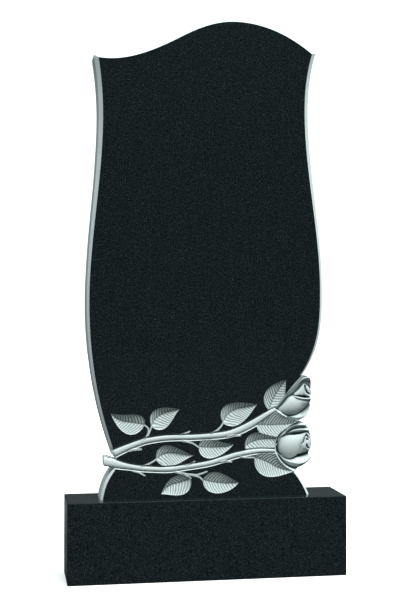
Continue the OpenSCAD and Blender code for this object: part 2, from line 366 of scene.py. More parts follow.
def relaxed(field, free, source=0.0, rounds=170, push=1.88):
    """Lets the free cells settle to the mean of their neighbours, plus a steady source."""
    field = field.copy()
    inner = field[1:-1, 1:-1]
    odd = np.add.outer(np.arange(inner.shape[0]), np.arange(inner.shape[1])) % 2 == 1
    turns = [(free & odd) * push, (free & ~odd) * push]
    for _ in range(rounds):
        for turn in turns:
            inner += (neighbours(field) + source - inner) * turn
    return field


def lay_petal(marks, bulge, round_edge):
    """Lays one petal on the tray. Marks are x, z and depth round its edge."""
    edge = smooth_line([(*behind_face(x, z, depth), depth) for x, z, depth in marks], 0.6, closed=True)
    low = np.floor((edge[:, :2].min(0) - (tray_x[0], tray_z[0])) / TRAY_CELL).astype(int) - 2
    high = np.ceil((edge[:, :2].max(0) - (tray_x[0], tray_z[0])) / TRAY_CELL).astype(int) + 3
    low, high = np.maximum(low, 0), np.minimum(high, tray.shape)
    window = (slice(low[0], high[0]), slice(low[1], high[1]))
    points = tray_points[window].reshape(-1, 2)
    shape = tray[window].shape
    inside = is_inside(points, edge).reshape(shape)
    _, index = nearest(points, edge)
    skin = edge[index, 2].reshape(shape)
    free = inside[1:-1, 1:-1]
    if not free.any():
        return
    skin = relaxed(skin, free)
    swell = relaxed(np.zeros(shape), free, source=0.01)
    swell = np.maximum(swell / swell.max(), 0) ** round_edge
    tray[window] = np.where(inside, skin - bulge * swell, tray[window])


# %% [markdown]
# The upper rose.
# Its outer petal curls over at the top and throws the inside into shade, which painted shade
# deepens. Below lies a cupped petal that looks up, then the full front petal with its rolled lip,
# then the bud, and last the whorl at its heart, which is a few ovals and commas one inside the other.

# %% Upper rose, from the back to the front
upper_rose = {
    "collar": ([
        (172, 419, 3.5), (188, 436, 3.5), (204, 459, 3.2), (222, 481, 3.2), (243, 504, 3.2), (258, 503, 6),
        (271, 489.5, 10), (262, 493.5, 5), (250, 491.5, 4), (240, 486, 3), (228, 473, 2.6),
        (213, 457, 2.6), (200, 447, 3), (184, 430, 4)], 0, .5),
    "outer petal": ([
        (173, 419.5, 7), (182, 428, 5), (192, 439, 4), (203, 452, 3.6), (213, 460, 3.4), (228, 475.5, 3.2),
        (240, 487.5, 3.2), (250, 493, 4.2), (262, 494.5, 6.5), (271, 489, 9), (271, 470, 20),
        (270, 445, 22), (240, 443, 22), (215.5, 440, 20), (190.5, 420, 16)], -9, .45),
    "cupped petal": ([
        (171, 418, 6.5), (186, 410.5, 4), (197, 402, 3), (206, 395.5, 2.5), (220, 390.5, 2.5),
        (236, 388, 3), (250, 391, 4.5), (262, 397.5, 7.5), (269, 408, 11), (271, 425, 18), (270, 441, 22),
        (262, 430, 22), (250, 418, 21), (235, 410, 20), (215.5, 402.5, 18), (200.5, 404.5, 16),
        (186.5, 413, 13)], 2, .5),
    "full petal": ([
        (181.5, 417, 12), (188.5, 424.5, 10), (198, 436, 9), (207.5, 446, 8.5), (217, 450, 8),
        (228, 448.5, 7.5), (241, 446, 7.5), (256, 444, 10), (270, 442.5, 14), (264, 433, 15),
        (252, 420.5, 15), (240, 412, 14.5), (226, 405, 13.5), (212.5, 402.5, 13), (200.5, 404.5, 13),
        (189.5, 410.5, 12.5)], 9.5, .7),
    "rolled lip": ([
        (219, 450.5, 4), (228, 449.5, 2.4), (239, 447, 2.4), (252, 445, 3.6), (270, 445, 8),
        (270, 441, 8.5), (252, 440.5, 4.4), (240, 441.5, 3), (230, 444.5, 3)], 1.2, .5),
    "bud": ([
        (222, 453, 10), (232, 464, 12), (241, 473.5, 11), (248, 481, 11), (250, 471, 4.5), (251, 461, 4.5),
        (255, 452.5, 6.5), (245, 451.5, 8), (234, 452, 9)], 3.4, .5),
    "whorl": ([
        (248, 481, 11), (256, 478, 10), (263, 471, 11), (269, 461, 13), (268, 452.5, 12.5),
        (262, 448.5, 9.5), (256, 450, 6), (251.5, 456, 4.2), (249, 466, 3.8), (247.5, 474, 6)], 1.2, .5),
    "whorl shade": ([
        (250, 478, 12), (254, 477, 13), (255.5, 470, 12), (253.5, 463, 11), (251, 466, 10),
        (249.5, 472, 11)], -4, .5),
    "inner petal": ([
        (255.5, 475, 8), (261, 470, 8.5), (265, 463, 9.5), (265, 457, 10), (261.5, 453, 9),
        (256.5, 456, 6.5), (254, 461, 6), (254, 469, 6.5)], 1.8, .5),
    "inner shade": ([
        (252, 465, 12), (253.5, 459, 12), (257, 455.5, 12.5), (262, 453.5, 13), (260.5, 458, 12),
        (256.5, 461.5, 11), (254.5, 467, 11)], -4, .5),
    "heart": ([
        (257, 470, 7.5), (260.5, 467, 8), (262.5, 462, 8.5), (259.5, 460, 8), (257, 464, 7.5)], 1.5, .5),
}
for marks, bulge, round_edge in upper_rose.values():
    lay_petal(marks, bulge, round_edge)
laid = tray[:, tray_z > 390]
print("upper rose", len(upper_rose), "petals, nearest the face", laid[laid > 0].min().round(2), "mm")

# %% [markdown]
# The lower rose.
# It is the same flower turned more to the side, with two outer petals showing above it as
# narrow bands, each bright on its outside and dark within, partly by their shape and partly by painted shade.

# %% Lower rose, from the back to the front
lower_rose = {
    "outer band": ([
        (180, 340, 8), (193, 360, 8), (208, 374, 9), (222, 382, 11), (238, 385, 14), (252, 384, 15),
        (258, 379, 14), (256, 374.5, 8), (246, 376, 4.5), (234, 376, 4), (222, 373, 4), (208, 365.5, 4.5),
        (194, 351, 5), (184, 335, 6)], 0, .5),
    "outer petal": ([
        (176, 325, 8), (186, 341, 5), (194, 351, 4.4), (208, 365.5, 4), (222, 373, 3.6), (234, 376, 3.6),
        (246, 376, 4.5), (256, 374.5, 8), (264, 366, 20), (246, 368, 20), (230, 367, 19), (214.5, 362, 18),
        (200.5, 350, 17), (188.5, 335, 16)], -3, .5),
    "second band": ([
        (190.5, 340, 16), (201.5, 353, 15.5), (214.5, 363.5, 16), (230, 368.5, 16), (246, 369.5, 17),
        (262, 368, 18), (267, 359, 9), (250, 364, 5.6), (234, 364, 5.2), (218, 361, 5.2),
        (206, 354.5, 5.6), (194, 342, 7)], 0, .5),
    "second petal": ([
        (177.5, 322, 12), (194, 342, 6.5), (206, 354.5, 5.4), (218, 361, 5), (234, 364, 5),
        (250, 364, 5.4), (262, 361, 8), (270, 346, 12), (271, 320, 20), (262, 340, 25), (254, 352, 25),
        (240, 350, 25), (220.5, 348, 24), (200.5, 345, 22), (186.5, 330, 18)], -6, .45),
    "outside of the cup": ([
        (182, 306, 7), (190, 293, 7), (200, 281, 9.5), (212, 273, 11.5), (224, 269, 13), (236, 267.5, 14),
        (247, 272, 14), (259, 281, 14), (271, 291, 15), (264, 290, 9), (252, 283, 5.6), (238, 279.5, 4),
        (224, 280.5, 3.6), (210, 284, 3.6), (197, 291, 4.6)], 0, .5),
    "cup": ([
        (179, 308, 7), (187, 299, 5), (197, 290.5, 3.6), (210, 283.5, 3), (224, 279.5, 3), (238, 278, 3.6),
        (252, 281.5, 5.6), (264, 288.5, 9), (271, 293, 12), (270, 304, 20), (258, 304.5, 22),
        (245, 300.5, 22), (232, 297, 20), (218.5, 292.5, 18), (205.5, 293.5, 17),
        (192.5, 300.5, 15)], 2, .5),
    "gap": ([
        (228.5, 300, 22), (240, 303, 24), (252, 306, 24), (265, 309, 24), (270, 303, 24), (256, 303, 24),
        (244, 299.5, 24), (232.5, 296.5, 22)], -4, .6),
    "full petal": ([
        (180.5, 322, 12), (184.5, 337, 11), (193.5, 346.5, 10), (206, 350.5, 9), (222, 351, 9),
        (240, 353, 9.5), (254, 357, 11), (248.5, 346, 9), (243.5, 336, 8.5), (240.5, 328, 9),
        (239, 317, 12), (234.5, 307, 14), (228, 299.5, 14.5), (220, 295, 14), (211, 292, 13.5),
        (200.5, 294.5, 13), (190.5, 302, 12.5), (183.5, 311, 12)], 10.5, .7),
    "side petal": ([
        (240.5, 328, 7), (239, 317, 8.5), (235, 308, 11), (232, 302.5, 14), (240, 304.5, 16),
        (250, 307, 17), (263, 311.5, 17), (264, 314, 10), (257, 318, 6.5), (251, 323, 5.2),
        (246, 328, 4.8)], 3, .5),
    "whorl": ([
        (254, 357, 11), (248.5, 346, 6.5), (243.5, 335, 4.6), (243.5, 329, 4.4), (250, 321, 4.6),
        (256.5, 315, 6.2), (263, 312, 9), (269, 322, 13), (270.5, 335, 14), (267, 347, 12.5),
        (260, 355, 11.5)], 1.8, .5),
    "whorl shade": ([
        (254, 353.5, 13), (258.5, 350, 13), (262.5, 342, 12.5), (258, 344, 11), (254, 347.5, 11),
        (250.5, 342, 10.5), (247, 333, 10), (244.5, 330.5, 9), (247, 341, 10.5)], -4, .5),
    "inner petal": ([
        (254, 347, 7.5), (258, 343.5, 7.5), (264, 338, 9.5), (266.5, 328, 11), (263, 318, 9),
        (257, 317.5, 6.2), (251.5, 324, 4.8), (248, 331, 4.8), (250.5, 340, 6)], 2, .5),
    "upper spot": ([(252.5, 341, 11), (256, 343.5, 12), (260, 341, 12), (257, 337.5, 11.5)], -4, .5),
    "inner shade": ([
        (253, 329, 10.5), (255.5, 328, 10.5), (257.5, 323, 11.5), (261.5, 319.5, 12), (258.5, 317, 12),
        (254, 321, 11)], -4, .5),
    "heart": ([(255, 336, 7), (261, 336, 8), (263.5, 329, 9), (259.5, 324, 8), (256.5, 329, 7)], 1.8, .5),
}
for marks, bulge, round_edge in lower_rose.values():
    lay_petal(marks, bulge, round_edge)
print("lower rose", len(lower_rose), "petals")

# %% [markdown]
# A chisel cannot leave a step with no thickness, so the finished tray is softened by less than
# a millimetre. Then any point of the slab can ask the tray how deep it lies.

# %% Soften the tray and read it
SHALLOWEST = 0.7
for _ in range(2):
    tray = 0.5 * tray + 0.5 * neighbours(np.pad(tray, 1, mode="edge"))
tray = np.maximum(tray, SHALLOWEST)
# Hollows and creases that sink below the tray round them get painted shade, darker the deeper they sink.
around = tray.copy()
for _ in range(60):
    around = neighbours(np.pad(around, 1, mode="edge"))
UNSHADED_DROP, FULL_SHADE_DROP = 0.4, 3.9
tray_shade = np.clip((tray - around - UNSHADED_DROP) / (FULL_SHADE_DROP - UNSHADED_DROP), 0, 1)


def from_tray(values, points):
    """Reads a number kept on the tray at any points, blending the four cells round each."""
    i = np.clip((points[:, 0] - tray_x[0]) / TRAY_CELL, 0, len(tray_x) - 1.001)
    j = np.clip((points[:, 1] - tray_z[0]) / TRAY_CELL, 0, len(tray_z) - 1.001)
    i0, j0 = i.astype(int), j.astype(int)
    a, b = i - i0, j - j0
    return ((values[i0, j0] * (1 - a) + values[i0 + 1, j0] * a) * (1 - b)
            + (values[i0, j0 + 1] * (1 - a) + values[i0 + 1, j0 + 1] * a) * b)


# %% [markdown]
# The last cuts in a rose are lines. A narrow chisel undercuts each petal where it meets the
# next; the cut and a soft band round it are darkened with painted shade, and a line with no
# depth is painted shade alone. Each line has a path, a width, a depth and how much shade is
# painted on it. The paths too are set out on the face, so each is first followed back to the
# petals it runs on.

# %% Undercut lines and their painted shade
undercuts_and_shade = {
    "between rim and bud": ([
        (243, 484), (230, 470), (217, 456), (206, 447), (196, 435), (186, 424.5),
        (178, 417.5)], 1.4, 2.4, .75),
    "between the two rims": ([
        (203.5, 454), (216.5, 465.5), (230.5, 481.5), (244.5, 496.5), (258, 500)], 1.2, 1.5, .9),
    "outside the rim": ([(176, 423), (190, 441), (206, 464)], 1.0, .3, .2),
    "under the curled petal": ([
        (240.5, 484), (250, 487.5), (259.5, 487), (267.5, 481.5), (271, 473.5)], 3.4, 0, .85),
    "left of the whorl": ([(249.5, 479), (250, 472), (251.5, 465), (256, 459), (261, 456)], 1.4, 1.2, 1.0),
    "right of the whorl": ([(257, 477), (262.5, 470), (266, 462)], 1.3, .8, .7),
    "under the bud": ([(236, 452.5), (246, 448.5), (256, 447), (268, 447.5)], 1.4, .8, .7),
    "under the lip": ([(230, 442.5), (240, 440), (252, 438), (269.5, 439)], 1.8, .8, .75),
    "round the upper ball": ([
        (192, 408), (200, 402.5), (212, 401), (226, 403), (238, 409), (250, 417), (262, 429),
        (268.5, 439)], 1.6, 1.8, .8),
    "inside the upper cup": ([(243, 410), (255, 419), (263, 429), (269, 438)], 5.5, 0, .75),
    "right of the upper ball": ([(248.5, 428.5), (256, 428), (263, 433.5)], 7.5, 0, .6),
    "foot of the upper ball": ([(204, 409), (216, 408), (228, 411), (240, 417)], 4.5, 0, .35),
    "edge of the upper cup": ([
        (206, 398.5), (216, 394.5), (227, 392), (240.5, 392.5), (254.5, 397), (265.5, 405)], 2.4, .8, 1.5),
    "round the lower ball": ([
        (206, 352.5), (194, 350), (185, 342), (180, 331), (179, 319), (181.5, 308), (188, 300),
        (199, 293.5), (211, 291), (221, 294), (231, 299)], 2.0, 2.6, .82),
    "left of the lower ball": ([(187, 343), (181, 330), (180.5, 316), (185.5, 305)], 4.5, 0, .45),
    "hollow under the whorl": ([(233, 300.5), (243, 303.5), (254, 306.5), (264, 309.5)], 3.2, 0, 1.0),
    "over the lower ball": ([
        (197, 350.5), (206, 355.5), (218, 357.5), (232, 357.5), (246, 358.5), (258, 359)], 2.4, 1, 1.0),
    "between the bands": ([(203, 360), (213, 368), (224, 373), (238, 374), (254, 373)], 1.7, .8, .9),
    "top band": ([(222, 379.5), (234, 383), (246, 383), (255.5, 381)], 1.5, .8, .85),
    "right of the second petal": ([(259, 360), (266, 351), (268.5, 339), (267, 327)], 2.2, .5, .75),
    "left of the lower whorl": ([(254, 353), (248.5, 343), (244.5, 332)], 1.3, 1, 1.0),
    "whorl spot": ([(254.5, 341.5), (258, 340)], 1.7, .5, .9),
    "whorl comma": ([(255, 324), (257.5, 320), (261, 317.5)], 1.5, .5, .95),
    "beside the side petal": ([(238.5, 327), (238, 317), (234, 308), (228, 300)], 1.4, .6, .35),
    "under the lower cup": ([
        (185.5, 297), (194, 285), (205, 277), (218, 272), (232, 270), (241, 272)], 2.4, 0, 1.0),
    "edge of the lower cup": ([(240, 274), (252, 278.5), (261, 285), (270, 294)], 2.6, .8, 1.0),
    "fold of the lower cup": ([
        (188.5, 294), (199, 287), (213, 282.5), (228, 280.5), (243, 283)], .9, .4, .45),
}
# Painted shade is strongest on each line, with a wider, fainter halo round it.
DEEPEST_CUT, HALO_SHARE, HALO_WIDTH = 18, 0.28, 2.4
petals_laid = tray.copy()
for marks, width, deep, dark in undercuts_and_shade.values():
    seen = np.array(marks, float)
    lie = seen.copy()
    for _ in range(6):
        depth = np.minimum(from_tray(petals_laid, lie), DEEPEST_CUT)
        lie = (lie + np.column_stack(behind_face(seen[:, 0], seen[:, 1], depth))) / 2
    gap, _ = nearest(flat_points, smooth_line([(x, z, 0) for x, z in lie], 0.5), 12)
    gap = gap.reshape(tray.shape) / width
    press = np.exp(-gap ** 2)
    halo = np.exp(-(gap / HALO_WIDTH) ** 2)
    tray += deep * press
    tray_shade = np.maximum(tray_shade, dark * ((1 - HALO_SHARE) * press + HALO_SHARE * halo))
print(len(undercuts_and_shade), "undercuts; deepest place", tray.max().round(1), "mm")

# %% [markdown]
# The front as one sheet.
# The carved front is one surface, so it is made as one flat sheet of triangles first and
# pressed into relief afterwards. Triangles are small only where there is something to show.
# The marking-out lines are handed to the triangulation as edges, so that every leaf, midrib
# and stem keeps a clean line instead of a saw-tooth.

# %% Lines that must be edges
def beside(path, extra):
    """The two lines that run along a path at its half width plus a little more."""
    way = np.gradient(path[:, :2], axis=0)
    across = np.column_stack([-way[:, 1], way[:, 0]]) / np.hypot(*way.T)[:, None]
    off = across * (path[:, 2:3] + extra)
    return path[:, :2] + off, path[:, :2] - off


guide_lines = [leaf.midrib() for leaf in leaves]
guide_loops = [leaf.outline() for leaf in leaves]
for path in stems:
    guide_lines += [*beside(path, 0), *beside(path, STEM_BED)]
for path in twigs:
    guide_lines += [*beside(path, 0), *beside(path, TWIG_BED)]
rose_loop = resampled(rose_border, 1, True)
print(len(guide_lines) + len(guide_loops), "guide lines")

# %% How far inside the carved ground a point is
def carved_depth(points):
    """Millimetres inside the edge of the matt, carved ground, negative on the polish."""
    best = depth_inside(points, rose_loop, 8)
    for loop in guide_loops:
        best = np.maximum(best, depth_inside(points, loop, 8))
    for paths, bed in ((stems, STEM_BED), (twigs, TWIG_BED)):
        for path in paths:
            gap, index = nearest(points, path, 16)
            best = np.maximum(best, path[index, 2] + bed - gap)
    return best


def lattice(low, high, step):
    """Points in staggered rows."""
    rows = []
    for k, z in enumerate(np.arange(low[1], high[1], step * math.sqrt(3) / 2)):
        x = np.arange(low[0] + (k % 2) * step / 2, high[0], step)
        rows.append(np.column_stack([x, np.full(len(x), z)]))
    return np.vstack(rows)


CARVED_STEP, ROSE_STEP, PLAIN_STEP = 1.15, 0.95, 9
fine = lattice((-262, 201), (275, 506), CARVED_STEP)
fine_depth = carved_depth(fine)
fine_in_roses = depth_inside(fine, rose_loop, 8) > 0
rose_fine = lattice((165, 255), (275, 506), ROSE_STEP)
rose_fine = rose_fine[is_inside(rose_fine, rose_loop)]
coarse = lattice((-300, 201), (300, 1392), PLAIN_STEP)
coarse_depth = carved_depth(coarse)
between = fine[::7][(fine_depth[::7] < -1.5) & (fine_depth[::7] > -8)]
sheet_points = np.vstack([fine[(fine_depth > 0) & ~fine_in_roses], rose_fine, between,
                          coarse[coarse_depth < -10]])
print(len(sheet_points), "points inside the front")

# %% Triangulate the sheet inside the rim
def near_any(points, lines, reach):
    """True for each point closer than reach to any of the lines."""
    stations = np.vstack([line[:, :2] for line in lines])
    finder = KDTree(len(stations))
    for k, (x, z) in enumerate(stations):
        finder.insert((x, z, 0), k)
    finder.balance()
    return np.array([finder.find((x, z, 0))[2] < reach for x, z in points])


keep = is_inside(sheet_points, face_rim)
sheet_points = sheet_points[keep]
sheet_points = sheet_points[~near_any(sheet_points, guide_lines + guide_loops + [rose_loop, face_rim], 0.5)]
corners, links = [face_rim], [(i, (i + 1) % len(face_rim)) for i in range(len(face_rim))]
cuts = [(line, False) for line in guide_lines] + [(loop, True) for loop in guide_loops + [rose_loop]]
for line, closed in cuts:
    line = line[:, :2]
    usable = is_inside(line, face_rim) & (nearest(line, face_rim, 2)[0] > 0.6)
    usable &= closed | ~(depth_inside(line, rose_loop, 8) > 1)
    start = sum(len(block) for block in corners)
    corners.append(line)
    for i in range(len(line) - (0 if closed else 1)):
        j = (i + 1) % len(line)
        if usable[i] and usable[j]:
            links.append((start + i, start + j))
count = sum(len(block) for block in corners)
flat = np.vstack(corners + [sheet_points])
used = np.zeros(len(flat), bool)
used[:len(face_rim)] = True
used[np.array(links).ravel()] = True
used[count:] = True
renumber = np.cumsum(used) - 1
flat, links = flat[used], renumber[np.array(links)]
made = delaunay_2d_cdt([tuple(p) for p in flat], [tuple(map(int, e)) for e in links], [], 1, 1e-4)
sheet_xz = np.array([tuple(v) for v in made[0]])
sheet_faces = np.array([f for f in made[2] if len(f) == 3])
middle = sheet_xz[sheet_faces].mean(1)
sheet_faces = sheet_faces[is_inside(middle, face_rim)]
rim_vertex = np.full(len(face_rim), -1)
for new, originals in enumerate(made[3]):
    for old in originals:
        if old < len(face_rim):
            rim_vertex[old] = new
print(len(sheet_xz), "vertices and", len(sheet_faces), "triangles; rim found:", (rim_vertex >= 0).all())

# %% [markdown]
# Cutting the leaves.
# Each vertex is told how far along its leaf it lies and how far from the midrib. Together they
# give the depth of the valley, and a number that counts off the veins: it grows steadily along
# the leaf, and a little with distance from the midrib, so lines of equal number lean outwards
# as real veins do. The finish uses that number later to comb the veins into the stone, as a
# bump and as painted shade in the grooves.

# %% Valley depth and vein number
LEAF_DEPTH, LEAF_EDGE, VEIN_STEP = 8.8, 1.2, 7.4
VEIN_LEAN, VEIN_BEND = 0.42, 0.012
# How strongly a leaf is combed, as a bump and as painted shade in the grooves, and how far the
# painted shade along the midrib spreads, first above and then below the midrib.
COMBED, SHADED = (1.3, 0.95), (2.6, 1.0)
# How dark the painted shade is along the midrib and in the stems' beds.
MIDRIB_SHADE, BED_SHADE = 0.8, 0.85
# The fourth number is painted shade: how far the carved grey is darkened towards SHADOW.
valley, vein, veined, painted_shade = np.zeros((4, len(sheet_xz)))
for leaf, loop in zip(leaves, guide_loops):
    inside = depth_inside(sheet_xz, loop, 1)
    rows = np.flatnonzero(inside > -0.05)
    offset = sheet_xz[rows] - leaf.base
    u = np.clip(offset @ leaf.way / leaf.length, 0.001, 0.999)
    v = offset @ leaf.up
    rib = leaf.rib_height(u)
    edge = np.where(v > rib, leaf.swell(u, leaf.above), leaf.swell(u, leaf.below))
    across = np.clip(np.abs(v - rib) / np.maximum(edge - np.where(v > rib, rib, -rib), 0.5), 0, 1)
    width = np.clip(leaf.swell(u, (1, .5, .6)), 0, 1)
    depth = LEAF_DEPTH * width * (1 - across) ** 0.9 + LEAF_EDGE * np.clip(inside[rows] / LEAF_EDGE, 0, 1)
    depth *= np.clip(inside[rows] / 0.3, 0, 1)
    aside = np.abs(v - rib)
    number = (u * leaf.length - aside * (VEIN_LEAN + VEIN_BEND * aside)) / VEIN_STEP
    combing = np.clip(inside[rows] / 1.5, 0, 1) * np.where(v > rib, *COMBED)
    # A band of painted shade runs along the midrib, wider above it.
    shade = MIDRIB_SHADE * np.exp(-(aside / np.where(v > rib, *SHADED)) ** 2)
    deeper = depth > valley[rows]
    for kept, found in ((valley, depth), (vein, number), (veined, combing), (painted_shade, shade)):
        kept[rows[deeper]] = found[deeper]
# Painted shade darkens the wall of the bed above each stem and the groove just below it.
for path in stems:
    gap, index = nearest(sheet_xz, path, 16)
    beyond, over = gap - path[index, 2], sheet_xz[:, 1] > path[index, 1]
    wall = (beyond > -0.4) & (beyond < STEM_BED + 0.3) & over
    groove_shade = np.where(~over & (gap < 16), np.exp(-((beyond + 0.3) / 1.1) ** 2), 0)
    painted_shade = np.maximum(painted_shade, BED_SHADE * np.maximum(wall, groove_shade))
in_rose = depth_inside(sheet_xz, rose_loop, 60) > 0
veined[in_rose] = 0
# Inside the roses the painted shade is read from the tray.
painted_shade = np.where(in_rose, from_tray(tray_shade, sheet_xz), painted_shade)
print("deepest valley", valley.max().round(2), "mm")

# %% [markdown]
# Shader maths and field maths are the same thing.
# Both node trees below are long sums, and a sum is easiest to read as a sum. The class Wire
# wraps one output socket. Adding, multiplying or comparing two wires puts down a Math node and
# gives back its output, so an expression here reads like the formula it stands for.

# %% A wire that can be added and multiplied
def operator(operation, swap=False):
    """A method that puts down one Math node and gives back its output."""
    return lambda self, other=None: self.maths(operation, other, swap)


class Wire:
    tree = None

    def __init__(self, socket):
        self.socket = socket

    @classmethod
    def node(cls, kind, settings=None, **inputs):
        """Any node: its type, its settings, and values or wires for its sockets by name or place."""
        node = cls.tree.nodes.new(kind)
        for name, value in (settings or {}).items():
            setattr(node, name, value)
        for name, value in inputs.items():
            key = int(name[1:]) if name[0] == "_" and name[1:].isdigit() else name.replace("_", " ")
            cls.plug(node.inputs[key], value)
        return node

    @classmethod
    def plug(cls, socket, value):
        """Joins a wire or a node's first output to a socket, or sets the socket's own value."""
        if isinstance(value, bpy.types.Node):
            value = cls(value.outputs[0])
        if isinstance(value, Wire):
            cls.tree.links.new(value.socket, socket)
        else:
            socket.default_value = value

    def maths(self, operation, other=None, swap=False):
        values = [self] if other is None else [self, other]
        if swap:
            values = values[::-1]
        inputs = {f"_{k}": value for k, value in enumerate(values)}
        return Wire(self.node("ShaderNodeMath", {"operation": operation}, **inputs).outputs[0])

    __add__ = __radd__ = operator("ADD")
    __sub__, __rsub__ = operator("SUBTRACT"), operator("SUBTRACT", swap=True)
    __mul__ = __rmul__ = operator("MULTIPLY")
    __truediv__, __rtruediv__ = operator("DIVIDE"), operator("DIVIDE", swap=True)
    __pow__, __abs__ = operator("POWER"), operator("ABSOLUTE")
    low, high = operator("MINIMUM"), operator("MAXIMUM")

    def step(self, start, end):
        """0 before start, 1 after end, and a smooth rise between them."""
        node = self.node("ShaderNodeMapRange", {"interpolation_type": "SMOOTHSTEP"}, Value=self,
                         From_Min=start, From_Max=end)
        return Wire(node.outputs[0])


# %% [markdown]
# Stems that follow a path.
# A Geometry Nodes tree cuts the stems, because a stem is one cross-section carried along a
# path, whatever the path. Geometry Proximity finds the nearest place on the path for every
# vertex of the sheet. The path's own half width there says how wide the bar is: inside it the
# surface is a round back, outside it is the wall of the bed, rising to the polish. The same
# node group runs twice, once for the stems and once for the stalks and thorns.

# %% Paths as edge-only meshes that carry their half width
def placed(name, data):
    """A new object in the scene, with its place in its mesh."""
    thing = bpy.data.objects.new(name, data)
    bpy.context.collection.objects.link(thing)
    return thing


def give_numbers(mesh, name, values):
    """Stores one number for every vertex under a name."""
    mesh.attributes.new(name, "FLOAT", "POINT").data.foreach_set("value", values)


def path_object(name, paths):
    points, edges, widths = [], [], []
    for path in paths:
        start = len(points)
        points += [(x * MM, face_y * MM, z * MM) for x, z, _ in path]
        edges += [(k, k + 1) for k in range(start, len(points) - 1)]
        widths += [half * MM for half in path[:, 2]]
    mesh = bpy.data.meshes.new(name)
    mesh.from_pydata(points, edges, [])
    give_numbers(mesh, "half_width", widths)
    return placed(name, mesh)


stem_paths, twig_paths = path_object("stem_paths", stems), path_object("twig_paths", twigs)
print("paths with", len(stem_paths.data.vertices), "and", len(twig_paths.data.vertices), "points")


# %% One cross-section carried along a path, as a node group
def new_tree(name, inputs, outputs):
    tree = bpy.data.node_groups.new(name, "GeometryNodeTree")
    for label, kind, value in inputs:
        socket = tree.interface.new_socket(label, in_out="INPUT", socket_type=kind)
        if value is not None:
            socket.default_value = value
    for label, kind in outputs:
        tree.interface.new_socket(label, in_out="OUTPUT", socket_type=kind)
    Wire.tree = tree
    return tree, Wire.node("NodeGroupInput"), Wire.node("NodeGroupOutput")


def carried(name):
    """A number that the mesh carries, as a wire."""
    return Wire(Wire.node("GeometryNodeInputNamedAttribute", {"data_type": "FLOAT"}, Name=name).outputs[0])


STEEP = 1000.0


def bar_section():
    tree, given, result = new_tree(
        "bar_in_a_bed",
        [("Path", "NodeSocketGeometry", None), ("Bed Width", "NodeSocketFloat", 0.003),
         ("Back", "NodeSocketFloat", 0.0004), ("Roundness", "NodeSocketFloat", 0.9),
         ("Deepest", "NodeSocketFloat", 0.0065)],
        [("Bar", "NodeSocketFloat"), ("Bed", "NodeSocketFloat"), ("Inside", "NodeSocketFloat")])
    path, bed_width, back, roundness, deepest = (Wire(s) for s in given.outputs[:5])
    close = Wire.node("GeometryNodeProximity", {"target_element": "EDGES"}, _0=path)
    away = Wire(close.outputs["Distance"])
    index = Wire.node("GeometryNodeSampleNearest", {"domain": "POINT"}, _0=path)
    half = Wire(Wire.node("GeometryNodeSampleIndex", {"data_type": "FLOAT", "domain": "POINT"}, _0=path,
                          Value=carried("half_width"), Index=index).outputs[0])
    floor = (half * roundness + back).low(deepest)
    across = (away / half).low(1.0)
    round_back = (1.0 - across ** 2.8) ** 0.6
    # Beyond its half width the bar drops away so steeply that the bed beside it always wins.
    bar = back + (floor - back) * (1.0 - round_back) + (away - half).high(0.0) * STEEP
    rise = ((away - half) / bed_width).high(0.0)
    bed = (floor * (1.0 - rise ** 1.4)).high(0.0) * (1.0 - rise.step(0.999, 1.0))
    for socket, value in zip(result.inputs, (bar, bed, half + bed_width - away)):
        Wire.plug(socket, value)
    return tree


section = bar_section()
print(section.name, "has", len(section.nodes), "nodes")

# %% [markdown]
# Pressing the sheet into relief.
# The main tree takes the flat sheet with the numbers it already carries: the leaf valleys, the
# roses and the border distance. Where two cuts meet the deeper one wins; where a bar stands in
# a cut the bar wins; and the roses lie over everything. The result moves each vertex straight
# back into the stone.

# %% The carving tree
def carving_tree(finish):
    tree, given, result = new_tree(
        "press_into_relief",
        [("Sheet", "NodeSocketGeometry", None), ("Stems", "NodeSocketObject", None),
         ("Twigs", "NodeSocketObject", None), ("Stem Bed", "NodeSocketFloat", STEM_BED * MM),
         ("Twig Bed", "NodeSocketFloat", TWIG_BED * MM), ("Finish", "NodeSocketMaterial", finish)],
        [("Relief", "NodeSocketGeometry")])
    sheet, stem_object, twig_object, stem_bed, twig_bed, matt = (Wire(s) for s in given.outputs[:6])

    def along(path, bed, back, deepest):
        shape = Wire.node("GeometryNodeObjectInfo", None, Object=path)
        part = Wire.node("GeometryNodeGroup", {"node_tree": section}, Path=Wire(shape.outputs["Geometry"]),
                         Bed_Width=bed, Back=back, Deepest=deepest)
        return [Wire(s) for s in part.outputs]

    stem_bar, stem_cut, stem_inside = along(stem_object, stem_bed, 0.0003, 0.0065)
    twig_bar, twig_cut, twig_inside = along(twig_object, twig_bed, 0.0002, 0.004)
    cut = carried("valley").high(stem_cut).high(twig_cut)
    depth = cut.low(stem_bar).low(twig_bar)
    rose, inside = carried("rose"), carried("edge").high(stem_inside).high(twig_inside)
    in_rose = carried("in_rose")
    depth = depth * (1.0 - in_rose) + rose * in_rose
    stored = "GeometryNodeStoreNamedAttribute", {"data_type": "FLOAT", "domain": "POINT"}
    kept = Wire.node(*stored, Geometry=sheet, Name="edge", Value=inside)
    off_stem, off_twig = 1.0 - stem_inside.step(0.0, 0.001), 1.0 - twig_inside.step(0.0, 0.001)
    plain = Wire.node(*stored, Geometry=kept, Name="veined", Value=carried("veined") * off_stem * off_twig)
    back = Wire.node("ShaderNodeCombineXYZ", None, Y=depth)
    moved = Wire.node("GeometryNodeSetPosition", None, Geometry=plain, Offset=back)
    real = Wire.node("GeometryNodeRealizeInstances", None, Geometry=moved)
    done = Wire.node("GeometryNodeSetMaterial", None, Geometry=real, Material=matt)
    Wire.plug(result.inputs[0], done)
    return tree


